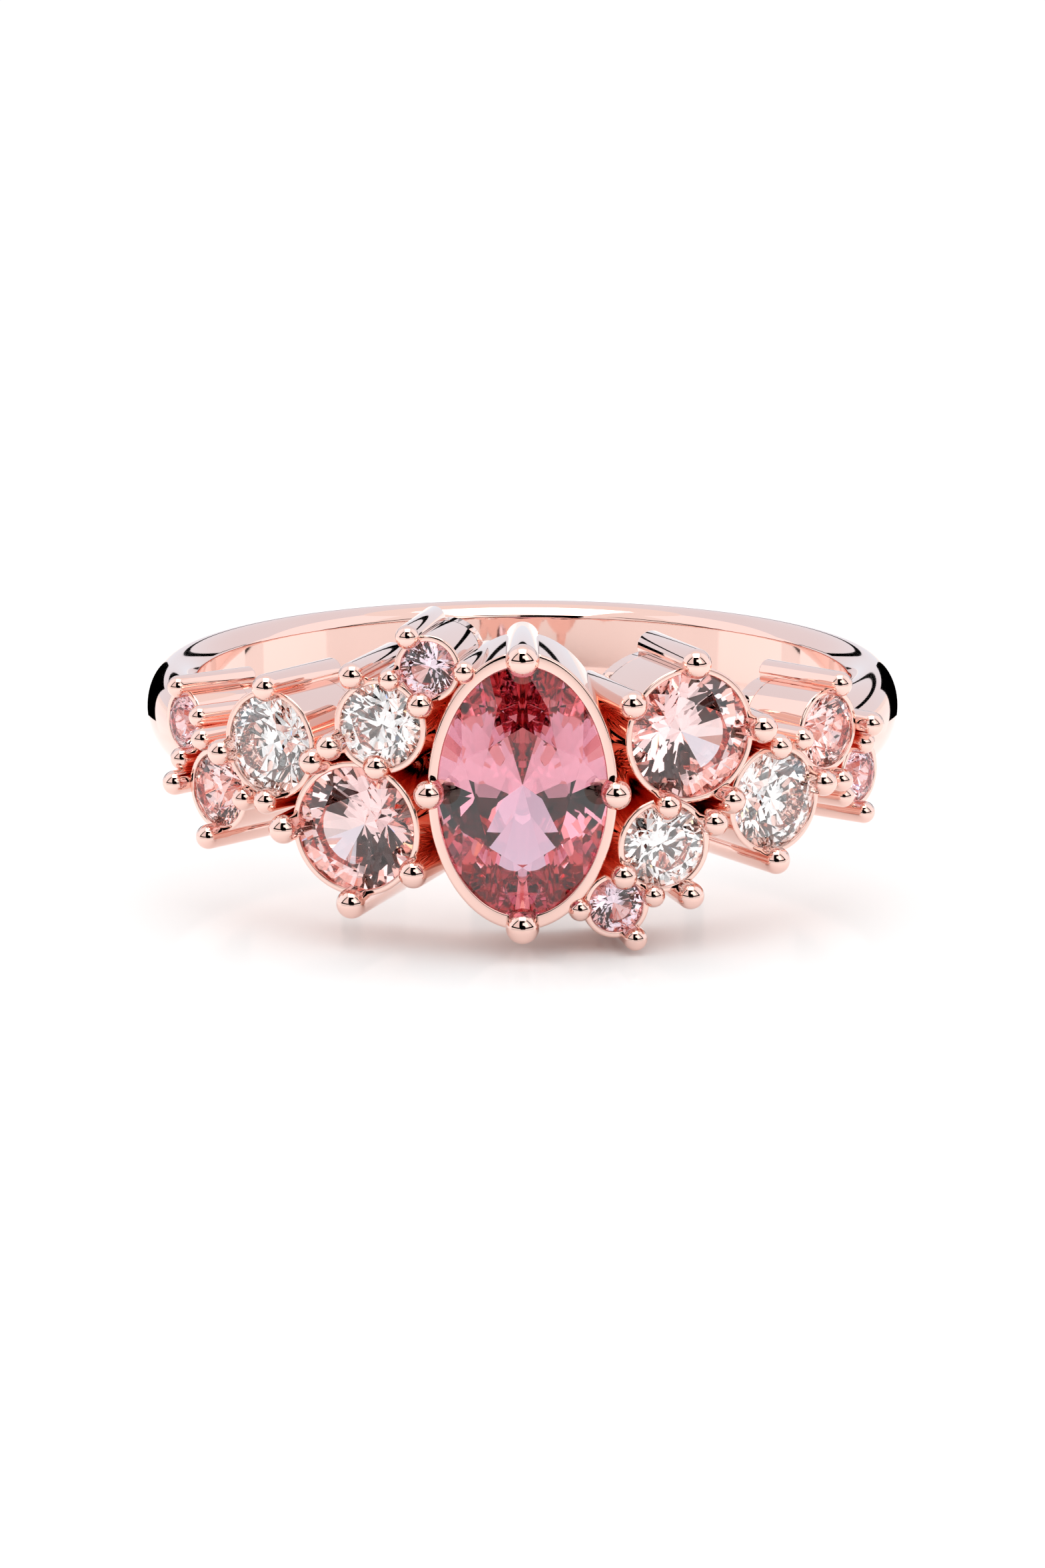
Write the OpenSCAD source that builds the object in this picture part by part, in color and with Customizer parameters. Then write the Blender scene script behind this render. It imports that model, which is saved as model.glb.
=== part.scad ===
// Cocktail ring: an oval centre stone in a two-sided cluster of round stones.
//
// Frame: the origin is the centre of the finger hole at mid band, +Z is the
// axis of the finger hole, and the cluster faces -Y. The right half of the
// cluster is the left half turned half a turn about Y.

/* [Finger hole and shank] */
// Diameter of the finger hole
bore_d = 17.3; // [17:0.1:18]
// Width of the shank along the finger hole
shank_w = 2.28; // [2:0.02:2.4]
// Thickness of the shank from the finger hole to its crown
shank_t = 1.35; // [1.2:0.05:1.5]
// Width of the flat band that touches the finger
shank_flat_w = 1.52; // [1.3:0.02:1.6]
// Angle from the front at which each shank end meets the cluster
shank_end = 49.4; // [49:0.2:50.2]

/* [Cluster] */
// Thickness of the pierced plate that all the settings stand on
gallery_t = 0.45; // [0.35:0.05:0.5]
// Wall outside the girdle of the centre stone
centre_wall = 0.25; // [0.2:0.05:0.35]
// Wall outside the girdle of every round stone
accent_wall = 0.16; // [0.14:0.02:0.22]
// Height of a rim above the girdle it holds
rim_rise = 0.06; // [0.02:0.02:0.1]
// Radius of the hole behind a stone, as a share of its girdle radius
light_hole = 0.6; // [0.5:0.02:0.62]
// Rounding of the metal's outer edges
edge_round = 0.06; // [0.04:0.02:0.08]

/* [Stone cut] */
// Table radius as a share of the girdle radius
table_share = 0.56; // [0.52:0.01:0.6]
// Angle of the crown's main facets
crown_angle = 34.5; // [32:0.5:36]
// Angle of the pavilion's main facets
pavilion_angle = 40.8; // [40:0.2:42]
// Half the girdle's thickness as a share of its radius
girdle_share = 0.03; // [0.02:0.01:0.05]

/* [Hidden] */
$fn = 64;
rose_gold = "#e8b09a";
bore_r = bore_d / 2;
shank_r = bore_r + shank_t;
gallery_r = bore_r + gallery_t;
star_share = 0.76;     // radius at the tips of the star facets
lower_share = 0.25;    // radius at the inner tips of the lower girdle facets
facets = 8;            // main facets round the stone
touch = 0.02;          // pieces nearer than this are cut to meet
reach = 14;            // longer than any piece measured from the hole's axis

// One row per setting on the left half, the first being the centre one:
// name, colour, girdle radius, stretch along Z, angle from the front,
// height, girdle's distance from the hole's axis, wall, and each prong's
// angle round the stone, gap outside the girdle and radius.
NAME = 0; TINT = 1; GIRDLE = 2; STRETCH = 3; TURN = 4; RISE = 5; OUT = 6; WALL = 7; PRONGS = 8;
SETTINGS = [
    ["centre", "#d0688c", 2, 1.5, 0, 0, 11.35, centre_wall,
        [[0, 0.2, 0.36], [90, 0.2, 0.4], [180, 0.2, 0.36], [270, 0.2, 0.4]]],
    ["large_peach", "#f3bcb4", 1.5, 1, 21.1, -1.14, 11, accent_wall,
        [[67, 0.25, 0.34], [-29, 0.34, 0.36], [-90, 0.27, 0.37], [-177, 0.27, 0.36]]],
    ["inner_white", "#f4f4f8", 1, 1, 17.4, 1.45, 11.2, accent_wall,
        [[29, 0.26, 0.33], [116, 0.35, 0.33], [-156, 0.29, 0.33]]],
    ["outer_white", "#f4f4f8", 1.2, 1, 33.6, 0.68, 10.95, accent_wall,
        [[-8, 0.29, 0.33], [85, 0.25, 0.34], [-167, 0.14, 0.33], [-87, 0.15, 0.32]]],
    ["small_peach", "#f3bcb4", 0.9, 1, 43.8, -0.74, 10.75, accent_wall,
        [[-96, 0.28, 0.31], [0, 0.31, 0.3], [180, 0.45, 0.31], [103, 0.39, 0.29]]],
    ["inner_lilac", "#e2c4dc", 0.65, 1, 11.5, 2.86, 11.15, accent_wall,
        [[118, 0.24, 0.29], [0, 0.28, 0.28], [-164, 0.24, 0.28]]],
    ["outer_lilac", "#e2c4dc", 0.7, 1, 52.9, 0.65, 10.5, accent_wall,
        [[84, 0.25, 0.28], [18, 0.44, 0.28], [-76, 0.18, 0.29]]],
];
ACCENTS = [1 : len(SETTINGS) - 1];

// ---- places -------------------------------------------------------------

// A setting's own frame: +Z out of the ring along the stone's axis, +Y up.
module place(s) {
    rotate([0, 0, -s[TURN]]) translate([0, 0, s[RISE]]) rotate([90, 0, 0]) children();
}

// The other half of the cluster.
module half_turn() {
    rotate([0, 180, 0]) children();
}

// A point of setting a's frame in setting b's frame.
function seen_from(a, b, p) = let (turn = b[TURN] - a[TURN]) [
    p.x * cos(turn) + p.z * sin(turn),
    p.y + a[RISE] - b[RISE],
    p.z * cos(turn) - p.x * sin(turn),
];

// Where prong n of setting s stands, across the stone's axis.
function prong_xy(s, n) = let (p = s[PRONGS][n]) [
    (s[GIRDLE] + p[1]) * cos(p[0]),
    (s[GIRDLE] * s[STRETCH] + p[1]) * sin(p[0]),
];

// Radius of a prong, and the heights of its foot on the finger hole and of its ball's centre.
function prong_r(s, n) = s[PRONGS][n][2];
function prong_foot(s, n) = let (x = max(abs(prong_xy(s, n).x) - prong_r(s, n), 0)) sqrt(bore_r ^ 2 - x ^ 2);
function prong_ball(s, n) = s[OUT] + prong_r(s, n);

// Points down the middle of a prong.
function prong_line(s, n) = let (xy = prong_xy(s, n), foot = prong_foot(s, n), ball = prong_ball(s, n))
    [for (t = [0 : 0.25 : 1]) [xy.x, xy.y, foot + t * (ball - foot)]];

// Distance between prong n of a and the axis of b, with b's length drawn in to its width.
function off_axis(a, n, b) = min([for (p = prong_line(a, n))
    let (q = seen_from(a, b, p)) norm([q.x, q.y / b[STRETCH]])]);

// Distance between the middles of two prongs.
function off_prong(a, n, b, m) = min([for (p = prong_line(a, n))
    let (q = seen_from(a, b, p)) norm([q.x, q.y] - prong_xy(b, m))]);

// Whether prong n of a runs into the metal or the stone of b, or into prong m of b.
function meets_collet(a, n, b) = off_axis(a, n, b) < b[GIRDLE] + b[WALL] + prong_r(a, n) + touch;
function meets_prong(a, n, b, m) = off_prong(a, n, b, m) < prong_r(a, n) + prong_r(b, m) + touch;

// ---- stones -------------------------------------------------------------

// Corner radius that lets a many-sided girdle be turned down to radius r.
function corner(r) = r / cos(90 / facets);
function half_girdle(r) = girdle_share * r;
function crown_top(r) = half_girdle(r) + (corner(r) - table_share * r) * tan(crown_angle);
function culet(r) = -half_girdle(r) - corner(r) * tan(pavilion_angle);

// Height of the crown's main facets at radius x on their own middle line.
function crown_at(r, x) = half_girdle(r) + (corner(r) - x) * tan(crown_angle);
function pavilion_at(r, x) = -half_girdle(r) - (corner(r) - x) * tan(pavilion_angle);
function star_height(r) = crown_at(r, star_share * r * cos(180 / facets));
function lower_height(r) = pavilion_at(r, lower_share * r * cos(180 / facets));

function round_points(count, r, stretch, z, first = 0) = [for (k = [0 : count - 1])
    let (a = first + 360 * k / count) [r * cos(a), stretch * r * sin(a), z]];

// All corners of a brilliant cut: table, stars, girdle, lower girdle facets, culet.
function brilliant_points(r, stretch) = concat(
    round_points(facets, table_share * r, stretch, crown_top(r)),
    round_points(facets, star_share * r, stretch, star_height(r), 180 / facets),
    round_points(2 * facets, corner(r), stretch, half_girdle(r)),
    round_points(2 * facets, corner(r), stretch, -half_girdle(r)),
    round_points(facets, lower_share * r, stretch, lower_height(r), 180 / facets),
    [[0, 0, culet(r)]]
);

// A brilliant about its girdle's centre.
module brilliant(r, stretch) {
    points = brilliant_points(r, stretch);
    intersection() {
        hull() polyhedron(points, [[for (i = [0 : len(points) - 1]) i]]);
        scale([1, stretch, 1]) cylinder(r = r, h = 4 * r, center = true);
    }
}

// The space that a stone turns in, which its setting leaves free.
module stone_space(s) {
    r = s[GIRDLE];
    place(s) translate([0, 0, s[OUT]]) scale([1, s[STRETCH], 1]) rotate_extrude() polygon([
        [0, culet(r)], [lower_share * r, lower_height(r)], [r, pavilion_at(r, r)],
        [r, crown_at(r, r)], [star_share * r, star_height(r)], [table_share * r, crown_top(r)],
        [0, crown_top(r)],
    ]);
}

module stone(s) {
    color(s[TINT]) place(s) translate([0, 0, s[OUT]]) brilliant(s[GIRDLE], s[STRETCH]);
}

// ---- prongs -------------------------------------------------------------

// One whole prong: a round wire from the finger hole to a ball over the stone.
module wire(s, n) {
    xy = prong_xy(s, n);
    r = prong_r(s, n);
    foot = prong_foot(s, n);
    ball = prong_ball(s, n);
    place(s) translate([xy.x, xy.y, 0]) rotate_extrude() intersection() {
        square([r, reach]);
        union() {
            translate([0, foot + edge_round]) square([r, ball - foot - edge_round]);
            translate([0, foot]) square([r - edge_round, 2 * edge_round]);
            translate([r - edge_round, foot + edge_round]) circle(edge_round);
            translate([0, ball]) circle(r);
        }
    }
}

// Prong n of setting i, notched for the stones and fitted to the prongs before it.
module prong(i, n) {
    s = SETTINGS[i];
    difference() {
        wire(s, n);
        for (t = SETTINGS) if (meets_collet(s, n, t)) stone_space(t);
        for (j = [0 : 1 : i]) for (m = [0 : len(SETTINGS[j][PRONGS]) - 1])
            if ((j < i || m < n) && meets_prong(s, n, SETTINGS[j], m)) wire(SETTINGS[j], m);
    }
}

module prongs(i) {
    color(rose_gold) for (n = [0 : len(SETTINGS[i][PRONGS]) - 1]) prong(i, n);
}

// ---- collets ------------------------------------------------------------

// The outside of a collet, as a solid post from the hole's axis to its rim.
module post(s) {
    r = s[GIRDLE] + s[WALL];
    rim = s[OUT] + half_girdle(s[GIRDLE]) + rim_rise;
    place(s) scale([1, s[STRETCH] == 1 ? 1 : (s[GIRDLE] * s[STRETCH] + s[WALL]) / r, 1])
        rotate_extrude() intersection() {
            square([r, reach]);
            union() {
                square([r, rim - edge_round]);
                square([r - edge_round, rim]);
                translate([r - edge_round, rim - edge_round]) circle(edge_round);
            }
        }
}

// The hole behind a stone, from the hole's axis to the seat.
module light_bore(s) {
    place(s) scale([1, s[STRETCH], 1]) cylinder(r = light_hole * s[GIRDLE], h = s[OUT]);
}

// The opening over a stone, through which its crown shows.
module mouth(s) {
    place(s) translate([0, 0, s[OUT]]) scale([1, s[STRETCH], 1]) cylinder(r = s[GIRDLE], h = s[GIRDLE]);
}

// Collet i, standing on the gallery plate and fitted to the collets before it.
module collet(i) {
    s = SETTINGS[i];
    color(rose_gold) difference() {
        post(s);
        cylinder(r = gallery_r, h = reach, center = true);
        light_bore(s);
        mouth(s);
        for (t = SETTINGS) if (posts_meet(t, s)) stone_space(t);
        for (j = [0 : 1 : i - 1]) if (posts_meet(s, SETTINGS[j])) post(SETTINGS[j]);
        for (t = SETTINGS) for (m = [0 : len(t[PRONGS]) - 1]) if (meets_collet(t, m, s)) wire(t, m);
        if (i == 0) half_turn() for (j = ACCENTS) for (m = [0 : len(SETTINGS[j][PRONGS]) - 1])
            if (meets_collet(SETTINGS[j], m, s)) wire(SETTINGS[j], m);
    }
}

// Whether two posts run into each other between the gallery plate and their rims.
function posts_meet(a, b) = let (p = seen_from(a, b, [0, 0, gallery_r]))
    norm([p.x, p.y / b[STRETCH]]) < a[GIRDLE] + a[WALL] + b[GIRDLE] + b[WALL] + touch;

// ---- gallery plate and shank --------------------------------------------

module both_halves() {
    children();
    half_turn() children();
}

// The curved plate under all the settings, pierced behind each stone.
module gallery_plate() {
    color(rose_gold) difference() {
        intersection() {
            difference() {
                cylinder(r = gallery_r, h = reach, center = true);
                cylinder(r = bore_r, h = 2 * reach, center = true);
            }
            union() {
                post(SETTINGS[0]);
                both_halves() for (i = ACCENTS) post(SETTINGS[i]);
            }
        }
        light_bore(SETTINGS[0]);
        both_halves() for (i = ACCENTS) light_bore(SETTINGS[i]);
        both_halves() for (s = SETTINGS) for (n = [0 : len(s[PRONGS]) - 1]) wire(s, n);
    }
}

// Section of the shank: an ellipse that the finger hole cuts off flat.
module shank_section() {
    cut = sqrt(1 - (shank_flat_w / shank_w) ^ 2);
    middle = (bore_r + cut * shank_r) / (1 + cut);
    intersection() {
        translate([middle, 0]) scale([shank_r - middle, shank_w / 2]) circle(1);
        translate([bore_r, -shank_w]) square([shank_t + 1, 2 * shank_w]);
    }
}

// The finger band, open at the front where the cluster closes it.
module shank() {
    color(rose_gold) difference() {
        rotate([0, 0, shank_end - 90]) rotate_extrude(angle = 360 - 2 * shank_end) shank_section();
        both_halves() for (s = SETTINGS)
            if (s[TURN] + asin((s[GIRDLE] + s[WALL]) / bore_r) > shank_end) post(s);
        both_halves() for (s = SETTINGS) for (n = [0 : len(s[PRONGS]) - 1])
            if (s[TURN] - asin((prong_xy(s, n).x - prong_r(s, n)) / bore_r) > shank_end) wire(s, n);
    }
}

// ---- nodes --------------------------------------------------------------

shank();
gallery_plate();
collet(0);  // collet_centre
prongs(0);  // prongs_centre
stone(SETTINGS[0]);  // stone_centre
for (i = ACCENTS) {
    name = SETTINGS[i][NAME];
    collet(i);
    half_turn() collet(i);
    prongs(i);
    half_turn() prongs(i);
    stone(SETTINGS[i]);
    half_turn() stone(SETTINGS[i]);
}
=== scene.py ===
# %% [markdown]
# # A rose gold cluster ring
# The ring has a flat-backed shank, a pierced gallery plate, thirteen collets, forty-six ball-tipped
# wire prongs and thirteen cut stones. The CAD model says where everything is and how big it is, so
# this lesson measures that model. Only small roundings and clearances, the shares of a stone's cut and
# two hidden heights are typed. It then builds finer metal over the model, gives every stone a gem
# material, and sets a white studio round it.

# %% Load the CAD frame
import math

import bmesh
import bpy
import numpy as np
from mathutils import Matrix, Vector


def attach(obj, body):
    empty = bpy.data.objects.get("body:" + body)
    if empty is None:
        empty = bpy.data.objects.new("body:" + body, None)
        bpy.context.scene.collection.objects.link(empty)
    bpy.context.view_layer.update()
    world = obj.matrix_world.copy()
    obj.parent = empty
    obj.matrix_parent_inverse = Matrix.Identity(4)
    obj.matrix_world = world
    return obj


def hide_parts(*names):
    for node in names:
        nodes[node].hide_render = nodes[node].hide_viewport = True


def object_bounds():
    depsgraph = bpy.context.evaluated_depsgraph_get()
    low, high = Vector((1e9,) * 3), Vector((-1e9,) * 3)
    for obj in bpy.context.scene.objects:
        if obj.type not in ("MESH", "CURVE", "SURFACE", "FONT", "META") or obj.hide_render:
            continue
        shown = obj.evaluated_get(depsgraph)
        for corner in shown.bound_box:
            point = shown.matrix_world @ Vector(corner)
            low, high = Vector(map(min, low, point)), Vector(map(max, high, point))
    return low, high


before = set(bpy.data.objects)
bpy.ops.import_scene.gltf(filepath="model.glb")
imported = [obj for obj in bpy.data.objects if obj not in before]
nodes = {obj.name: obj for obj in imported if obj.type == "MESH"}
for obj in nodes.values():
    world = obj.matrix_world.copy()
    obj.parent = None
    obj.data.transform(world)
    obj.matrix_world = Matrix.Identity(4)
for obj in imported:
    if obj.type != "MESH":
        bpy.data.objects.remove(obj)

cad_low, cad_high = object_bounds()
MM = 0.001
WELD = 1e-8               # corners nearer than this, in metres, are one corner
print("CAD box in mm:", [round((b - a) / MM, 2) for a, b in zip(cad_low, cad_high)])

# %% [markdown]
# ## Reading the settings from the CAD model
# Each stone sits in a setting with a frame of its own: the stone's axis points straight out from the
# finger hole, and the finger hole's axis is "up". A stone's culet is its point nearest the finger hole,
# so it gives the setting's direction and height, and the widest points give the girdle. As they are
# measured, the new pieces follow when a size in the CAD model changes.

# %% A setting's own frame
def mesh_points(mesh):
    """All corners of a mesh, in millimetres."""
    corners = np.zeros(len(mesh.vertices) * 3, np.float32)
    mesh.vertices.foreach_get("co", corners)
    return corners.reshape(-1, 3).astype(float) / MM


def node_points(name):
    return mesh_points(nodes[name].data)


def setting_frame(stone_points):
    """A setting's axes (x across, y up, z outwards) as columns, and its origin, in millimetres."""
    radial = np.hypot(stone_points[:, 0], stone_points[:, 1])
    culet = stone_points[radial.argmin()]
    out = np.array([culet[0], culet[1], 0]) / radial.min()
    across = np.cross([0, 0, 1], out)
    return np.column_stack([across, [0, 0, 1], out]), np.array([0, 0, culet[2]])


def to_setting(points, place):
    turn, origin = place
    return (points - origin) @ turn


def to_ring(points, place):
    turn, origin = place
    return points @ turn.T + origin


# %% Measure every stone and its girdle
GIRDLE_SHARE = 0.03       # half the girdle's thickness over its radius, as the stones are cut
WIDEST = 0.02             # corners this near the girdle's edge, in millimetres, belong to it

settings = {}
for node in sorted(n for n in nodes if n.startswith("stone_")):
    points = node_points(node)
    place = setting_frame(points)
    local = to_setting(points, place)
    across, up = np.abs(local[:, 0]).max(), np.abs(local[:, 1]).max()
    widest = local[np.abs(local[:, 0]) > across - WIDEST]
    settings[node.removeprefix("stone_")] = {
        "place": place, "girdle": across, "stretch": up / across,
        "out": (widest[:, 2].min() + widest[:, 2].max()) / 2,
        "culet": local[:, 2].min(), "table": local[:, 2].max()}
for name, s in settings.items():
    print(f"{name:18} girdle {s['girdle']:.2f}  stretch {s['stretch']:.2f}  out {s['out']:.2f}")

# %% [markdown]
# ## Helpers for meshes
# A turned part is a profile spun about an axis. The helper below makes one as a closed mesh from
# points of radius and height. Its faces are smooth, and an edge sharper than a set angle stays crisp,
# which is how a polished edge behaves on metal.

# %% Make an object from points and faces
SHARP = math.radians(35)
CUTTER_SIDES = 64         # how finely a cutting shape is turned
COLLET_SIDES = 128


def add_object(name, data):
    """A new object at the origin, in the scene."""
    thing = bpy.data.objects.new(name, data)
    bpy.context.scene.collection.objects.link(thing)
    return thing


def weld(mesh, outward=True):
    """Joins corners that share a place and, if asked, turns the normals outward."""
    work = bmesh.new()
    work.from_mesh(mesh)
    bmesh.ops.remove_doubles(work, verts=work.verts, dist=WELD)
    if outward:
        bmesh.ops.recalc_face_normals(work, faces=work.faces)
    work.to_mesh(mesh)
    work.free()


def add_mesh(name, points, faces):
    """A new object from points in millimetres, with outward normals."""
    mesh = bpy.data.meshes.new(name)
    mesh.from_pydata([tuple(p) for p in np.asarray(points) * MM], [], faces)
    weld(mesh)
    piece = add_object(name, mesh)
    smooth_by_angle(mesh)
    return piece


def smooth_by_angle(mesh, angle=SHARP):
    mesh.shade_smooth()
    mesh.set_sharp_from_angle(angle=angle)


# %% Turn a profile into a solid
def lathe(profile, place, stretch=1.0, sides=96):
    """Points and faces of a closed profile turned about a setting's axis.

    A profile that starts and ends on the axis makes a solid, and a closed loop makes a ring."""
    on_axis = profile[0][0] == 0 and profile[-1][0] == 0
    points, faces = [], []
    for k in range(sides):
        angle = 2 * math.pi * k / sides
        for radius, height in profile:
            points.append((radius * math.cos(angle), radius * stretch * math.sin(angle), height))
    steps = len(profile)
    for k in range(sides):
        here, there = k * steps, (k + 1) % sides * steps
        for i in range(steps - 1 if on_axis else steps):
            j = (i + 1) % steps
            corner = [here + i, here + j, there + j, there + i]
            if on_axis and i == 0:
                corner = [here, here + 1, there + 1]
            elif on_axis and j == steps - 1:
                corner = [here + i, here + j, there + i]
            faces.append(corner)
    return to_ring(np.array(points), place), faces


def arc(centre, radius, start, stop, steps=6):
    """Points along a round corner, angles in degrees."""
    angles = [math.radians(start + (stop - start) * k / steps) for k in range(steps + 1)]
    return [(centre[0] + radius * math.cos(a), centre[1] + radius * math.sin(a)) for a in angles]


# %% Cut one object with others
def cut(piece, cutters):
    """Takes the cutters out of a piece, and leaves a plain mesh."""
    for tool in cutters:
        step = piece.modifiers.new("cut", "BOOLEAN")
        step.operation, step.solver, step.object = "DIFFERENCE", "EXACT", tool
    apply_modifiers(piece)
    smooth_by_angle(piece.data)


def apply_modifiers(piece):
    bpy.context.view_layer.update()
    evaluated = piece.evaluated_get(bpy.context.evaluated_depsgraph_get())
    piece.data = bpy.data.meshes.new_from_object(evaluated)
    piece.modifiers.clear()


def discard(*objects):
    for o in objects:
        bpy.data.objects.remove(o)


# %% [markdown]
# ## Rose gold
# The real finish is cast gold alloy, polished to a mirror. Nearly all of its look is reflection, so
# the material is a metal with very low roughness. A polisher leaves faint unevenness, which two
# noises give: a broad one shifts the colour and the roughness a little, and a fine one is a bump far
# too weak to see as dents that makes long reflections waver slightly.

# %% A helper for node trees
def link_nodes(tree, *pairs):
    for source, target in pairs:
        tree.links.new(source, target)


def new_material(name):
    material = bpy.data.materials.new(name)
    material.use_nodes = True
    tree = material.node_tree
    return material, tree, tree.nodes["Principled BSDF"]


def noise_on_object(tree, scale, detail=2.0):
    """A noise texture on Object coordinates; scale is in cycles per metre."""
    place = tree.nodes.new("ShaderNodeTexCoord")
    noise = tree.nodes.new("ShaderNodeTexNoise")
    noise.inputs["Scale"].default_value = scale
    noise.inputs["Detail"].default_value = detail
    link_nodes(tree, (place.outputs["Object"], noise.inputs["Vector"]))
    return noise


def ramp(tree, source, low, high):
    """Maps a 0 to 1 value to colours between low and high."""
    mix = tree.nodes.new("ShaderNodeMix")
    mix.data_type = "RGBA"
    mix.inputs["A"].default_value = (*low, 1)
    mix.inputs["B"].default_value = (*high, 1)
    link_nodes(tree, (source, mix.inputs["Factor"]))
    return mix.outputs["Result"]


# %% The polished rose gold material
def rose_gold_material():
    material, tree, shader = new_material("rose_gold_polished")
    shader.inputs["Metallic"].default_value = 1.0
    broad = noise_on_object(tree, 300.0)
    fine = noise_on_object(tree, 2500.0, 4.0)
    colour = ramp(tree, broad.outputs["Fac"], (0.88, 0.59, 0.52), (0.91, 0.64, 0.57))
    rough = tree.nodes.new("ShaderNodeMapRange")
    rough.inputs["To Min"].default_value = 0.02
    rough.inputs["To Max"].default_value = 0.06
    bump = tree.nodes.new("ShaderNodeBump")
    bump.inputs["Strength"].default_value = 0.02
    bump.inputs["Distance"].default_value = 0.00001
    link_nodes(tree, (colour, shader.inputs["Base Color"]),
               (broad.outputs["Fac"], rough.inputs["Value"]),
               (rough.outputs["Result"], shader.inputs["Roughness"]),
               (fine.outputs["Fac"], bump.inputs["Height"]),
               (bump.outputs["Normal"], shader.inputs["Normal"]))
    return material


rose_gold = rose_gold_material()
print("metal:", rose_gold.name)


# %% [markdown]
# ## Gem materials
# A cut stone is clear, bends light strongly and soaks up part of it on the way through, so a long
# path inside looks deeper in colour than a short one. Volume absorption gives that depth, and a very
# slight zoning of the surface tint stands for the uneven colour of a grown crystal.

# %% A gem material
def gem_material(name, ior, tint_low, tint_high, passed, density):
    """A clear stone; light that goes on inside it slowly takes the colour that is passed."""
    material, tree, shader = new_material(name)
    shader.inputs["Roughness"].default_value = 0.0
    shader.inputs["IOR"].default_value = ior
    shader.inputs["Transmission Weight"].default_value = 1.0
    zoning = noise_on_object(tree, 700.0)
    tint = ramp(tree, zoning.outputs["Fac"], tint_low, tint_high)
    link_nodes(tree, (tint, shader.inputs["Base Color"]))
    if density:
        depth = tree.nodes.new("ShaderNodeVolumeAbsorption")
        depth.inputs["Color"].default_value = (*passed, 1)
        depth.inputs["Density"].default_value = density
        link_nodes(tree, (depth.outputs["Volume"], tree.nodes["Material Output"].inputs["Volume"]))
    return material


TINTED_IOR, WHITE_IOR = 1.77, 2.42      # how strongly the stones are taken to bend light
gems = {
    "centre": gem_material("gem_rose", TINTED_IOR, (0.90, 0.62, 0.70), (0.94, 0.68, 0.75),
                           (0.80, 0.22, 0.38), 180.0),
    "peach": gem_material("gem_peach", TINTED_IOR, (0.97, 0.80, 0.80), (0.99, 0.85, 0.85),
                          (0.95, 0.55, 0.55), 110.0),
    "white": gem_material("gem_white", WHITE_IOR, (0.97, 0.97, 0.98), (1.0, 1.0, 1.0), (1, 1, 1), 0.0),
    "lilac": gem_material("gem_lilac", TINTED_IOR, (0.94, 0.84, 0.90), (0.96, 0.88, 0.94),
                          (0.88, 0.62, 0.78), 220.0),
}

# %% Give each CAD stone its gem
for name in settings:
    kind = next(k for k in gems if k in name)
    stone = nodes["stone_" + name]
    stone.data.materials.clear()
    stone.data.materials.append(gems[kind])
print("stones:", len(settings))

# %% [markdown]
# ## Where each prong stands
# A prong is a straight round wire with a ball end. In the CAD model every prong is a solid of its own,
# notched for the stone, so its solids are told apart by walking over shared corners. The ball's top
# gives the wire's axis, and the widest and lowest points give its radius and foot.

# %% Split a node into its solids
def solids_of(name):
    """Arrays of corners, one for each separate solid of a node."""
    work = bmesh.new()
    work.from_mesh(nodes[name].data)
    bmesh.ops.remove_doubles(work, verts=work.verts, dist=WELD)
    left, found = set(work.verts), []
    while left:
        front, group = [left.pop()], []
        while front:
            vert = front.pop()
            group.append(vert)
            for edge in vert.link_edges:
                other = edge.other_vert(vert)
                if other in left:
                    left.remove(other)
                    front.append(other)
        found.append(np.array([v.co for v in group]) / MM)
    work.free()
    return found


# %% Measure every prong
for name, s in settings.items():
    s["prongs"] = []
    for solid in solids_of("prongs_" + name):
        local = to_setting(solid, s["place"])
        tip = local[local[:, 2].argmax()]
        radius = np.hypot(local[:, 0] - tip[0], local[:, 1] - tip[1]).max()
        s["prongs"].append({"at": tip[:2], "top": tip[2], "radius": radius, "foot": local[:, 2].min()})
print("prongs:", sum(len(s["prongs"]) for s in settings.values()))

# %% [markdown]
# ## The space that each stone takes
# Prongs are cut back where a stone sits. The cutting shape is the stone's outline turned about its
# axis. It is a hair smaller than the stone, so that metal touches glass with no thin
# layer of air between them, which would look like a bright film.

# %% The stone's turned outline
TABLE_SHARE, STAR_SHARE = 0.56, 0.76    # radii of the table and of the star facets' tips
STAR_RISE = 0.62          # the cutting shape's height at those tips, as a share of the crown's
GIRDLE_EXTRA = 0.02       # extra height either side of the girdle, as a share of its radius
CONTACT = 0.012           # how far the metal reaches into the stone, in millimetres


def stone_profile(s, inset=0.0):
    """Radius and height of the stone's turned outline."""
    r = s["girdle"]
    crown = s["table"] - s["out"]
    pavilion = s["out"] - s["culet"]
    half = GIRDLE_SHARE * r
    outline = [(0, -pavilion), (r, -half - GIRDLE_EXTRA * r), (r, half + GIRDLE_EXTRA * r),
               (STAR_SHARE * r, half + (crown - half) * STAR_RISE), (TABLE_SHARE * r, crown), (0, crown)]
    return [(max(x - inset, 0), s["out"] + z) for x, z in outline]


def stone_space(name):
    s = settings[name]
    points, faces = lathe(stone_profile(s, CONTACT), s["place"], s["stretch"], CUTTER_SIDES)
    return add_mesh("space_" + name, points, faces)


# %% [markdown]
# ## Prongs
# All the prongs of a setting are the same kind of thing: a round wire that follows a straight path,
# rounded at the foot and domed at the tip. Geometry Nodes suits that. The script lays out one short
# polyline per prong whose points carry the wire's radius there, and the tree sweeps a circle along it
# with that radius, closes the ends, takes the stones' spaces out, and sets the finish.

# %% The prong tree
WIRE_SIDES = 48


def add_input(tree, name, kind, value=None):
    socket = tree.interface.new_socket(name=name, in_out="INPUT", socket_type=kind)
    if value is not None:
        socket.default_value = value
    return socket.identifier


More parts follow.
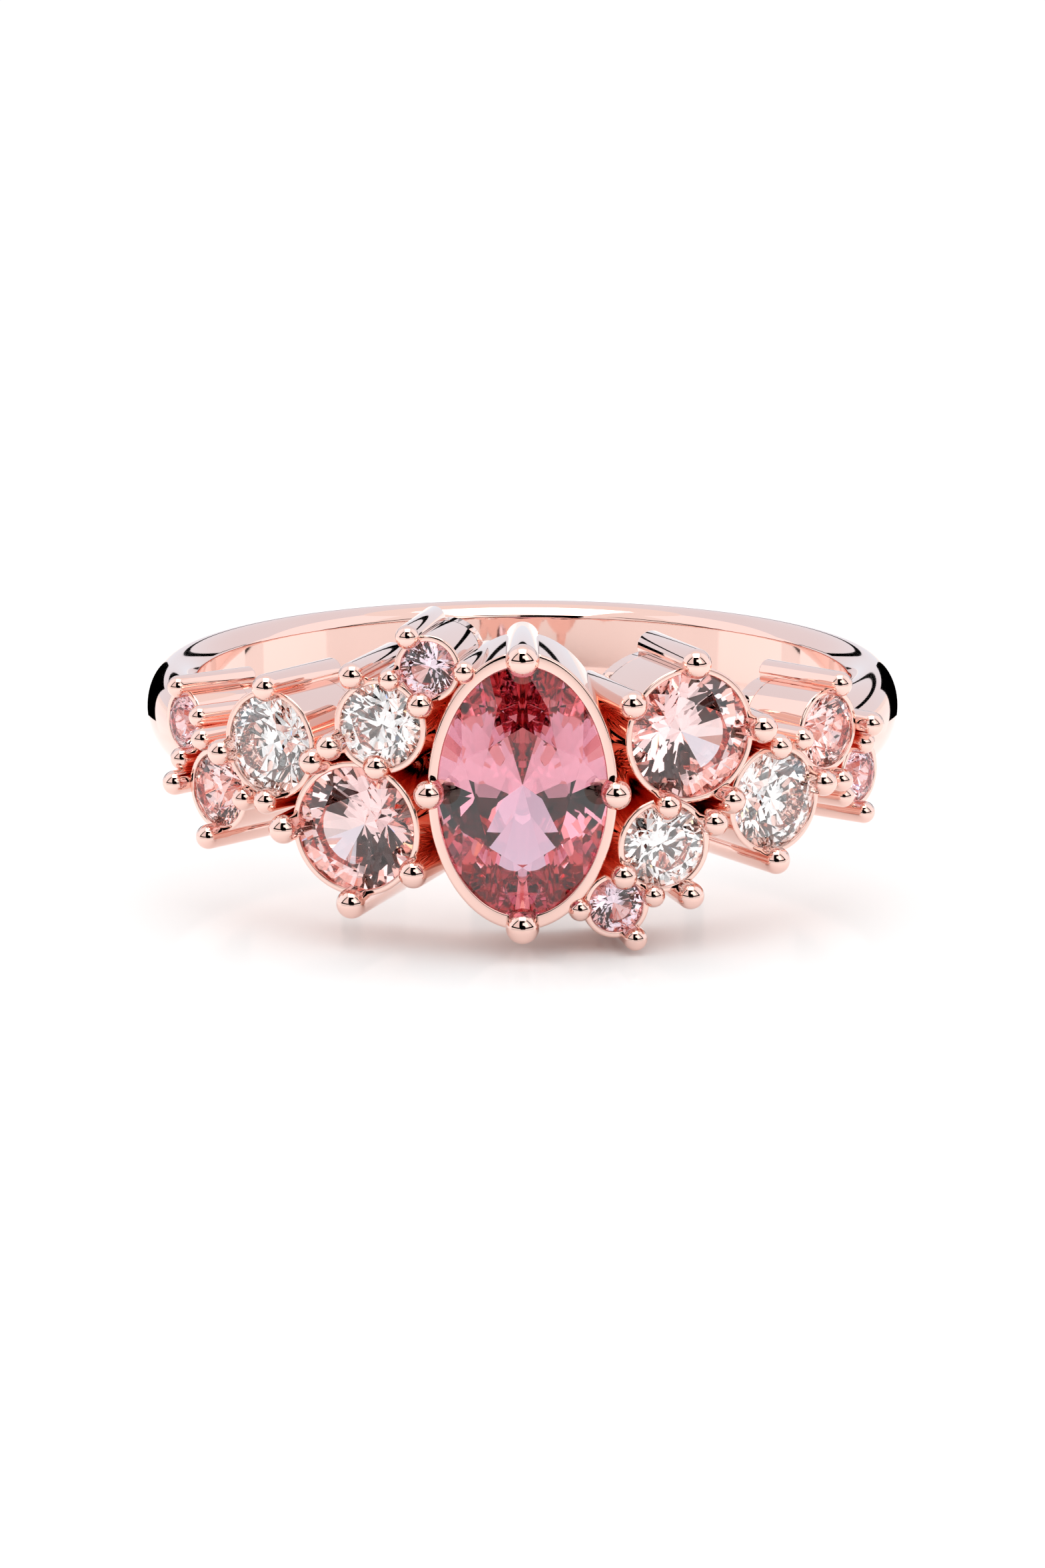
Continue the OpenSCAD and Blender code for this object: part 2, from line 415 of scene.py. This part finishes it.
def prong_tree():
    tree = bpy.data.node_groups.new("sweep_wires", "GeometryNodeTree")
    add_input(tree, "Geometry", "NodeSocketGeometry")
    add_input(tree, "Sides", "NodeSocketInt", WIRE_SIDES)
    keys = {"spaces": add_input(tree, "Stone spaces", "NodeSocketCollection"),
            "material": add_input(tree, "Material", "NodeSocketMaterial")}
    tree.interface.new_socket(name="Geometry", in_out="OUTPUT", socket_type="NodeSocketGeometry")
    new = tree.nodes.new
    given, result = new("NodeGroupInput"), new("NodeGroupOutput")
    to_curve, radius = new("GeometryNodeMeshToCurve"), new("GeometryNodeInputNamedAttribute")
    circle = new("GeometryNodeCurvePrimitiveCircle")
    sweep, merge = new("GeometryNodeCurveToMesh"), new("GeometryNodeMergeByDistance")
    spaces, realize = new("GeometryNodeCollectionInfo"), new("GeometryNodeRealizeInstances")
    boolean, material = new("GeometryNodeMeshBoolean"), new("GeometryNodeSetMaterial")
    last = new("GeometryNodeRealizeInstances")
    radius.inputs["Name"].default_value = "wire_radius"
    circle.inputs["Radius"].default_value = 1.0
    sweep.inputs["Fill Caps"].default_value = True
    merge.inputs["Distance"].default_value = WELD
    boolean.operation, boolean.solver = "DIFFERENCE", "EXACT"
    link_nodes(tree,
               (given.outputs["Geometry"], to_curve.inputs["Mesh"]),
               (given.outputs["Sides"], circle.inputs["Resolution"]),
               (to_curve.outputs["Curve"], sweep.inputs["Curve"]),
               (radius.outputs["Attribute"], sweep.inputs["Scale"]),
               (circle.outputs["Curve"], sweep.inputs["Profile Curve"]),
               (sweep.outputs["Mesh"], merge.inputs["Geometry"]),
               (given.outputs["Stone spaces"], spaces.inputs["Collection"]),
               (spaces.outputs["Instances"], realize.inputs["Geometry"]),
               (merge.outputs["Geometry"], boolean.inputs["Mesh 1"]),
               (realize.outputs["Geometry"], boolean.inputs["Mesh 2"]),
               (boolean.outputs["Mesh"], last.inputs["Geometry"]),
               (last.outputs["Geometry"], material.inputs["Geometry"]),
               (given.outputs["Material"], material.inputs["Material"]),
               (material.outputs["Geometry"], result.inputs["Geometry"]))
    return tree, keys


wires, wire_keys = prong_tree()

# %% Lay out the polylines and sweep them
FOOT_ROUND = 0.06         # rounding of a prong's foot, in millimetres
DOME_STEPS = 14
FOOT_STEPS = 4
POLE = 0.002              # radius left at a ball's very top, so that the sweep closes cleanly


def wire_stations(prong):
    """Height and radius along one wire, from its foot to the top of its ball."""
    r, foot, ball = prong["radius"], prong["foot"], prong["top"] - prong["radius"]
    stations = [(foot, POLE)]
    stations += [(foot + FOOT_ROUND + y, r - FOOT_ROUND + x)
                 for x, y in arc((0, 0), FOOT_ROUND, -90, 0, FOOT_STEPS)]
    stations += [(ball + y, max(x, POLE)) for x, y in arc((0, 0), r, 0, 90, DOME_STEPS)]
    return stations


def make_prongs(name):
    s = settings[name]
    points, radii, edges = [], [], []
    for prong in s["prongs"]:
        stations = wire_stations(prong)
        first = len(points)
        points += [(*prong["at"], height) for height, _ in stations]
        radii += [radius * MM for _, radius in stations]
        edges += [(first + k, first + k + 1) for k in range(len(stations) - 1)]
    mesh = bpy.data.meshes.new("gold_prongs_" + name)
    mesh.from_pydata([tuple(p) for p in to_ring(np.array(points), s["place"]) * MM], edges, [])
    mesh.attributes.new("wire_radius", "FLOAT", "POINT").data.foreach_set("value", radii)
    piece = add_object(mesh.name, mesh)
    near = bpy.data.collections.new("near_" + name)
    for other in settings:
        if touches_prongs(name, other):
            near.objects.link(spaces[other])
    step = piece.modifiers.new("wires", "NODES")
    step.node_group = wires
    step[wire_keys["spaces"]] = near
    step[wire_keys["material"]] = rose_gold
    apply_modifiers(piece)
    smooth_by_angle(piece.data)
    bpy.data.collections.remove(near)
    return piece


def touches_prongs(name, other):
    """Whether any prong of one setting comes near another setting's stone."""
    s, t = settings[name], settings[other]
    for prong in s["prongs"]:
        top = to_ring(np.array([[*prong["at"], prong["top"] - prong["radius"]]]), s["place"])
        x, y, _ = to_setting(top, t["place"])[0]
        if math.hypot(x, y / t["stretch"]) < t["girdle"] + prong["radius"]:
            return True
    return False


spaces = {name: stone_space(name) for name in settings}
bpy.context.view_layer.update()
made = {"prongs_" + name: make_prongs(name) for name in settings}
print("prong triangles:", sum(len(p.data.loop_triangles) for p in made.values()))

# %% [markdown]
# ## Collets
# A collet is a short tube round a stone. Inside, it has a straight mouth for the crown, a sloping
# seat under the pavilion and a light hole; outside, it is a plain cylinder with a softly rounded rim.
# All that is one profile turned about the stone's axis, so a lathe is the natural tool. Where two
# collets run together, each is cut back by its neighbour's stone and hole.

# %% A collet's profile
PLATE_IN = 8.72           # height of a collet's hidden foot in its setting, inside the gallery plate
RIM_ROUND = 0.06
LIP_ROUND = 0.03
SLACK = 0.006             # clearance that keeps turned surfaces from lying in one another
RIM_ZONE = 0.3            # share of the girdle's radius; the light hole is looked for deeper than that


def measure_collet(name):
    s = settings[name]
    local = to_setting(node_points("collet_" + name), s["place"])
    across = np.hypot(local[:, 0], local[:, 1] / s["stretch"])
    top = local[:, 2].max()
    s["rim"] = top
    s["wall"] = np.abs(local[:, 0]).max() - s["girdle"]
    s["hole"] = across[local[:, 2] < top - s["girdle"] * RIM_ZONE].min()


def collet_profile(s):
    r, outer, rim = s["girdle"], s["girdle"] + s["wall"], s["rim"]
    hole = s["hole"] + SLACK
    slope = (s["out"] - s["culet"]) / r
    seat = s["out"] - GIRDLE_SHARE * r - (r - hole) * slope
    profile = [(outer - SLACK, PLATE_IN)]
    profile += arc((outer - RIM_ROUND, rim - RIM_ROUND), RIM_ROUND, 0, 90)
    profile += arc((r + SLACK + LIP_ROUND, rim - LIP_ROUND), LIP_ROUND, 90, 180, 4)
    profile += [(r + SLACK, s["out"] - GIRDLE_SHARE * r), (hole, seat), (hole, PLATE_IN)]
    return profile


def make_collet(name):
    measure_collet(name)
    s = settings[name]
    points, faces = lathe(collet_profile(s), s["place"], s["stretch"], COLLET_SIDES)
    return add_mesh("gold_collet_" + name, points, faces)


for name in settings:
    made["collet_" + name] = make_collet(name)
print("collets:", len(settings))


# %% Cut neighbours out of each other
PAST = 1                  # how far a cutting shape goes past the metal, in millimetres


def clear_space(name):
    """The mouth, stone and light hole of a setting, as one solid."""
    s = settings[name]
    r, hole = s["girdle"] + SLACK, s["hole"] + SLACK
    slope = (s["out"] - s["culet"]) / s["girdle"]
    seat = s["out"] - GIRDLE_SHARE * r - (r - hole) * slope
    profile = [(0, PLATE_IN - PAST), (hole, PLATE_IN - PAST), (hole, seat),
               (r, s["out"] - GIRDLE_SHARE * r), (r, s["rim"] + PAST), (0, s["rim"] + PAST)]
    points, faces = lathe(profile, s["place"], s["stretch"], CUTTER_SIDES)
    return add_mesh("clear_" + name, points, faces)


def collets_meet(name, other):
    s, t = settings[name], settings[other]
    base = to_ring(np.array([[0, 0, PLATE_IN]]), s["place"])
    x, y, _ = to_setting(base, t["place"])[0]
    reach = s["girdle"] * (s["stretch"] if abs(y) > abs(x) else 1) + s["wall"]
    return math.hypot(x, y / t["stretch"]) < reach + t["girdle"]


clears = {name: clear_space(name) for name in settings}
for name in settings:
    near = [clears[other] for other in settings if other != name and collets_meet(name, other)]
    cut(made["collet_" + name], near)

# %% [markdown]
# ## Shank
# The shank is one section carried round the finger: an ellipse, flattened where it meets the finger.
# A sweep along an arc says exactly that, so Geometry Nodes make it from the sizes of the CAD shank.
# Its two ends run into the outermost collets.

# %% The shank tree
BAND_STEPS, BAND_SIDES = 300, 128


def shank_tree():
    tree = bpy.data.node_groups.new("sweep_band", "GeometryNodeTree")
    add_input(tree, "Geometry", "NodeSocketGeometry")
    add_input(tree, "Steps", "NodeSocketInt", BAND_STEPS)
    keys = {"middle": add_input(tree, "Middle radius", "NodeSocketFloat"),
            "start": add_input(tree, "Start angle", "NodeSocketFloat"),
            "sweep": add_input(tree, "Sweep angle", "NodeSocketFloat"),
            "half_t": add_input(tree, "Half thickness", "NodeSocketFloat"),
            "half_w": add_input(tree, "Half width", "NodeSocketFloat"),
            "flat": add_input(tree, "Flat side at", "NodeSocketFloat"),
            "material": add_input(tree, "Material", "NodeSocketMaterial")}
    tree.interface.new_socket(name="Geometry", in_out="OUTPUT", socket_type="NodeSocketGeometry")
    new = tree.nodes.new
    given, result = new("NodeGroupInput"), new("NodeGroupOutput")
    path, circle = new("GeometryNodeCurveArc"), new("GeometryNodeCurvePrimitiveCircle")
    size, stretch = new("ShaderNodeCombineXYZ"), new("GeometryNodeTransform")
    where, parts = new("GeometryNodeInputPosition"), new("ShaderNodeSeparateXYZ")
    clamp, back = new("ShaderNodeMath"), new("ShaderNodeCombineXYZ")
    flatten, sweep = new("GeometryNodeSetPosition"), new("GeometryNodeCurveToMesh")
    last, material = new("GeometryNodeRealizeInstances"), new("GeometryNodeSetMaterial")
    circle.inputs["Radius"].default_value = 1.0
    circle.inputs["Resolution"].default_value = BAND_SIDES
    size.inputs["Z"].default_value = 1.0
    clamp.operation = "MAXIMUM"
    sweep.inputs["Fill Caps"].default_value = True
    link_nodes(tree,
               (given.outputs["Middle radius"], path.inputs["Radius"]),
               (given.outputs["Start angle"], path.inputs["Start Angle"]),
               (given.outputs["Sweep angle"], path.inputs["Sweep Angle"]),
               (given.outputs["Steps"], path.inputs["Resolution"]),
               (given.outputs["Half thickness"], size.inputs["X"]),
               (given.outputs["Half width"], size.inputs["Y"]),
               (circle.outputs["Curve"], stretch.inputs["Geometry"]),
               (size.outputs["Vector"], stretch.inputs["Scale"]),
               (where.outputs["Position"], parts.inputs["Vector"]),
               (parts.outputs["X"], clamp.inputs[0]),
               (given.outputs["Flat side at"], clamp.inputs[1]),
               (clamp.outputs["Value"], back.inputs["X"]),
               (parts.outputs["Y"], back.inputs["Y"]),
               (stretch.outputs["Geometry"], flatten.inputs["Geometry"]),
               (back.outputs["Vector"], flatten.inputs["Position"]),
               (path.outputs["Curve"], sweep.inputs["Curve"]),
               (flatten.outputs["Geometry"], sweep.inputs["Profile Curve"]),
               (sweep.outputs["Mesh"], last.inputs["Geometry"]),
               (last.outputs["Geometry"], material.inputs["Geometry"]),
               (given.outputs["Material"], material.inputs["Material"]),
               (material.outputs["Geometry"], result.inputs["Geometry"]))
    return tree, keys


band, band_keys = shank_tree()

# %% Measure the CAD shank and sweep the fine one
shank_points = node_points("shank")
shank_radii = np.hypot(shank_points[:, 0], shank_points[:, 1])
bore_r, shank_r = shank_radii.min(), shank_radii.max()
half_w = np.abs(shank_points[:, 2]).max()
ON_BORE = 0.001           # corners this near the finger hole lie on the flat side
at_bore = shank_points[shank_radii < bore_r + ON_BORE]
flat_share = np.abs(at_bore[:, 2]).max() / half_w
share = math.sqrt(1 - flat_share ** 2)
middle_r = (bore_r + share * shank_r) / (1 + share)
from_front = np.arctan2(np.abs(shank_points[:, 0]), -shank_points[:, 1])
shank_end = from_front.min()
print(f"bore {bore_r:.2f}  outside {shank_r:.2f}  half width {half_w:.2f}  end {math.degrees(shank_end):.1f}")


def make_shank():
    mesh = bpy.data.meshes.new("gold_shank")
    piece = add_object(mesh.name, mesh)
    step = piece.modifiers.new("band", "NODES")
    step.node_group = band
    step[band_keys["middle"]] = middle_r * MM
    step[band_keys["start"]] = shank_end - math.pi / 2
    step[band_keys["sweep"]] = 2 * math.pi - 2 * shank_end
    step[band_keys["half_t"]] = (shank_r - middle_r) * MM
    step[band_keys["half_w"]] = half_w * MM
    step[band_keys["flat"]] = (bore_r - middle_r) * MM
    step[band_keys["material"]] = rose_gold
    apply_modifiers(piece)
    weld(piece.data)
    return piece


POST_FROM = 7             # height at which a cutting post starts, well inside the finger hole
POST_INSET = 0.02         # how far the band reaches into a collet's wall


def post_solid(name):
    """A collet's outside as a solid that reaches through the band."""
    s = settings[name]
    r, top = s["girdle"] + s["wall"] - POST_INSET, s["rim"] - POST_INSET
    points, faces = lathe([(0, POST_FROM), (r, POST_FROM), (r, top), (0, top)], s["place"])
    return add_mesh("post_" + name, points, faces)


made["shank"] = make_shank()
ends = [post_solid(name) for name in settings if "outer_lilac" in name or "small_peach" in name]
cut(made["shank"], ends)
discard(*ends)

# %% [markdown]
# ## Gallery plate
# The plate is a thin piece of a tube, outlined and pierced by the settings. The CAD mesh already has
# that exact outline, so a copy of it is welded and given true normals: on the two round faces the
# direction from the finger hole's axis is the exact normal, which keeps the mirror finish even.

# %% Weld a copy of the plate
ROUND_FACE = 0.9          # a face that looks this nearly along the radius belongs to a round side


def make_plate():
    mesh = nodes["gallery_plate"].data.copy()
    mesh.name = "gold_gallery_plate"
    weld(mesh, outward=False)
    piece = add_object(mesh.name, mesh)
    mesh.materials.clear()
    mesh.materials.append(rose_gold)
    smooth_by_angle(mesh)
    normals = np.zeros((len(mesh.loops), 3), np.float32)
    mesh.corner_normals.foreach_get("vector", normals.reshape(-1))
    for face in mesh.polygons:
        flat = Vector((face.center.x, face.center.y, 0)).normalized()
        side = face.normal.dot(flat)
        if abs(side) > ROUND_FACE:
            for loop in face.loop_indices:
                spot = mesh.vertices[mesh.loops[loop].vertex_index].co
                normals[loop] = Vector((spot.x, spot.y, 0)).normalized() * math.copysign(1, side)
    mesh.normals_split_custom_set([tuple(n) for n in normals])
    return piece


made["gallery_plate"] = make_plate()

# %% [markdown]
# ## Put the metal in place
# The new pieces are first compared with their CAD nodes. A collet reaches deeper, because its foot goes
# into the plate, and the centre collet is about a tenth of a millimetre thicker at its top and bottom,
# because the lathe stretches its wall too. Then every piece stands for its CAD node, rides on the ring's
# one body and takes its finish from the rose gold slot. The cutting shapes are thrown away.

# %% Compare each new piece with its CAD node
def box_gap(node):
    """Largest difference between the boxes of a node and of its new piece, in millimetres."""
    both = (node_points(node), mesh_points(made[node].data))
    boxes = [np.concatenate([points.min(0), points.max(0)]) for points in both]
    return float(np.abs(boxes[0] - boxes[1]).max())


for node in made:
    print(f"{node:28} off by {box_gap(node):.3f} mm")

# %% Ride, replace and finish
for node, piece in made.items():
    if not piece.data.materials:
        piece.data.materials.append(rose_gold)
    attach(piece, "root")
    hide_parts(node)
discard(*spaces.values(), *clears.values())
print("metal pieces:", len(made))

# %% [markdown]
# ## The white studio
# Polished metal shows the room more than itself. Product photographers put such a ring in a
# white tent on a white table: bright panels all round, a lamp overhead, dark seams where the
# panels meet, and the camera's own dark shape in the middle. The panels here are seen only in
# reflections and through the stones.

# %% Floor
FLOOR_GAP = 0.12 * MM
FLOOR_REACH = 3.0
floor_z = cad_low.z - FLOOR_GAP


def floor_material():
    material, tree, shader = new_material("studio_floor")
    shader.inputs["Base Color"].default_value = (0.88, 0.88, 0.88, 1)
    shader.inputs["Roughness"].default_value = 0.08
    shader.inputs["Specular IOR Level"].default_value = 0.02
    return material


floor_mesh = bpy.data.meshes.new("floor")
floor_corners = [(x * FLOOR_REACH, y * FLOOR_REACH, floor_z) for x, y in ((-1, -1), (1, -1), (1, 1), (-1, 1))]
floor_mesh.from_pydata(floor_corners, [], [(0, 1, 2, 3)])
floor = add_object("floor", floor_mesh)
floor_mesh.materials.append(floor_material())


# %% Cards that only reflections and stones see
def glow_material(name, colour):
    """An even glow; its colour may be brighter than 1."""
    material = bpy.data.materials.new(name)
    material.use_nodes = True
    tree = material.node_tree
    tree.nodes.clear()
    glow, output = tree.nodes.new("ShaderNodeEmission"), tree.nodes.new("ShaderNodeOutputMaterial")
    glow.inputs["Color"].default_value = (*colour, 1)
    link_nodes(tree, (glow.outputs["Emission"], output.inputs["Surface"]))
    return material


def toward(azimuth, elevation, distance):
    """A point seen from the ring: azimuth 0 is straight in front, 90 is to the right."""
    a, e = math.radians(azimuth), math.radians(elevation)
    return Vector((math.sin(a) * math.cos(e), -math.cos(a) * math.cos(e), math.sin(e))) * distance


def card(name, points, material, faces=None):
    """A glowing or black surface that the camera itself doesn't see, and that casts no shadow."""
    mesh = bpy.data.meshes.new(name)
    mesh.from_pydata(points, [], faces or [list(range(len(points)))])
    surface = add_object(name, mesh)
    mesh.materials.append(material)
    surface.visible_camera = surface.visible_diffuse = False
    surface.visible_shadow = surface.visible_volume_scatter = False
    return surface


def panel(name, corners, material, distance, steps=16):
    """A curved card; its four corners are azimuth and elevation, going round from the lower left."""
    low_left, low_right, high_right, high_left = (Vector(c) for c in corners)
    points = []
    for row in range(steps + 1):
        left, right = low_left.lerp(high_left, row / steps), low_right.lerp(high_right, row / steps)
        points += [toward(*left.lerp(right, column / steps), distance) for column in range(steps + 1)]
    faces = [[k, k + 1, k + steps + 2, k + steps + 1] for k in range(len(points) - steps - 2)
             if (k + 1) % (steps + 1)]
    return card(name, points, material, faces)


def disc(name, azimuth, elevation, spread, material, distance, sides=48):
    """A round card that spreads over so many degrees from its middle to its edge."""
    middle = toward(azimuth, elevation, distance)
    across = middle.cross(Vector((0, 0, 1))).normalized()
    up = across.cross(middle).normalized()
    reach = distance * math.tan(math.radians(spread))
    turns = [2 * math.pi * k / sides for k in range(sides)]
    return card(name, [middle + (across * math.cos(a) + up * math.sin(a)) * reach for a in turns], material)


black = glow_material("black_cloth", (0, 0, 0))
white_lamp = glow_material("white_lamp", (4.0, 3.9, 3.7))
soft_lamp = glow_material("soft_lamp", (1.6, 1.6, 1.6))
front_wall = glow_material("front_wall", (0.98, 0.94, 0.94))
side_wall = glow_material("side_wall", (1.2, 1.2, 1.24))
back_wall = glow_material("back_wall", (0.88, 0.98, 1.08))

# %% The tent's walls, lamps and seams
WALL_AT = 0.30            # distances from the ring, in metres; a nearer card covers a farther one
FRONT_WALL_AT = 0.31
WINDOW_AT = 0.29
SEAM_AT = 0.28
LAMP_HIGH, LAMP_HALF, LAMP_FRONT, LAMP_BACK = 0.28, 0.1, -0.17, 0.015

card("lamp_overhead", [(-LAMP_HALF, LAMP_FRONT, LAMP_HIGH), (LAMP_HALF, LAMP_FRONT, LAMP_HIGH),
                       (LAMP_HALF, LAMP_BACK, LAMP_HIGH), (-LAMP_HALF, LAMP_BACK, LAMP_HIGH)], white_lamp)
panel("wall_front", [(-72, 6), (72, 6), (48, 50), (-48, 50)], front_wall, FRONT_WALL_AT)
panel("wall_back_left", [(-180, 2), (-120, 2), (-120, 62), (-180, 62)], back_wall, WALL_AT)
panel("wall_back_right", [(120, 2), (180, 2), (180, 62), (120, 62)], back_wall, WALL_AT)
panel("wall_side_left", [(-120, 2), (-74, 2), (-74, 62), (-120, 62)], side_wall, WALL_AT)
panel("wall_side_right", [(74, 2), (120, 2), (120, 62), (74, 62)], side_wall, WALL_AT)
for name, start, stop in (("seam_back_left", -180, -124), ("seam_back_right", 124, 180)):
    seam = panel(name, [(start, 13), (stop, 13), (stop, 16), (start, 16)], black, SEAM_AT)
    seam.visible_transmission = False
panel("window_front", [(2, 14), (46, 14), (38, 44), (2, 44)], soft_lamp, WINDOW_AT)
panel("seam_base", [(-82, 2), (82, 2), (78, 10), (-78, 10)], black, SEAM_AT)
panel("seam_left", [(-78, 6), (-70, 6), (-42, 54), (-53, 54)], black, SEAM_AT)
panel("seam_right", [(70, 6), (78, 6), (53, 54), (42, 54)], black, SEAM_AT)

# %% The camera and its stand
STAND_AT, LENS_AT = 0.27, 0.26
panel("camera_stand", [(-20, 5), (1, 5), (1, 50), (-28, 50)], black, STAND_AT)
panel("camera_arm", [(-22, 40), (20, 42), (26, 57), (-32, 57)], black, STAND_AT)
disc("camera_front", 3, 8, 18, black, LENS_AT)

# %% Black cards close behind the ring, which draw a dark line down its bright edges
CARD_NEAR, CARD_FAR = Vector((20.4, 14.9, 0)) * MM, Vector((13.5, 17.2, 0)) * MM
CARD_HIGH = Vector((0, 0, 4)) * MM
for side, name in ((-1, "card_left"), (1, "card_right")):
    near, far = (Vector((side * p.x, p.y, floor_z)) for p in (CARD_NEAR, CARD_FAR))
    rise = CARD_HIGH - Vector((0, 0, floor_z))
    card(name, [near, far, far + rise, near + rise], black)

# %% Small tinted cards that only the stones see, for flashes of colour
FLASH_AT, FLASH_SPREAD = 0.26, 5
flash_tints = {"warm": glow_material("flash_warm", (1.5, 1.2, 0.7)),
               "cool": glow_material("flash_cool", (0.7, 0.95, 1.5))}
flash_places = [(-60, 30), (-35, 55), (20, 75), (48, 40), (70, 60), (-80, 70), (100, 45)]
for k, (azimuth, elevation) in enumerate(flash_places):
    tint = flash_tints["warm" if k % 2 else "cool"]
    flash = disc(f"flash_{k}", azimuth, elevation, FLASH_SPREAD, tint, FLASH_AT)
    flash.visible_glossy = False

# %% [markdown]
# ## Light and camera
# The tent's own glow is the world. A very soft sun overhead brightens the floor and is left out of
# reflections, so the metal shows only the tent. Light needs many bounces to find its way out of the
# stones and the narrow gaps between collets. The camera stands in front and a little above.

# %% World and lamps
world = bpy.data.worlds.new("white_tent")
bpy.context.scene.world = world
world.use_nodes = True
world.node_tree.nodes["Background"].inputs["Color"].default_value = (1, 1, 1, 1)
world.node_tree.nodes["Background"].inputs["Strength"].default_value = 1.03
overhead = add_object("overhead_sun", bpy.data.lights.new("overhead_sun", "SUN"))
overhead.data.energy = 1.4
overhead.data.angle = math.radians(140)
overhead.visible_glossy = overhead.visible_transmission = False

# %% Bounces
cycles = bpy.context.scene.cycles
cycles.max_bounces = 24
cycles.glossy_bounces = 16
cycles.transmission_bounces = 20

# %% Camera
CAMERA_AT = (0.0, -89.7, 17.55)
CAMERA_AIM = (0.0, -10.54, 0.0)
camera = add_object("camera", bpy.data.cameras.new("camera"))
camera.data.sensor_fit = "VERTICAL"
camera.data.sensor_height = camera.data.sensor_width = 36
camera.data.lens = 78.3
camera.data.clip_start = 0.002
camera.location = Vector(CAMERA_AT) * MM
camera.rotation_euler = (Vector(CAMERA_AIM) - Vector(CAMERA_AT)).to_track_quat("-Z", "Y").to_euler()
bpy.context.scene.camera = camera
bpy.context.scene.view_settings.view_transform = "Standard"
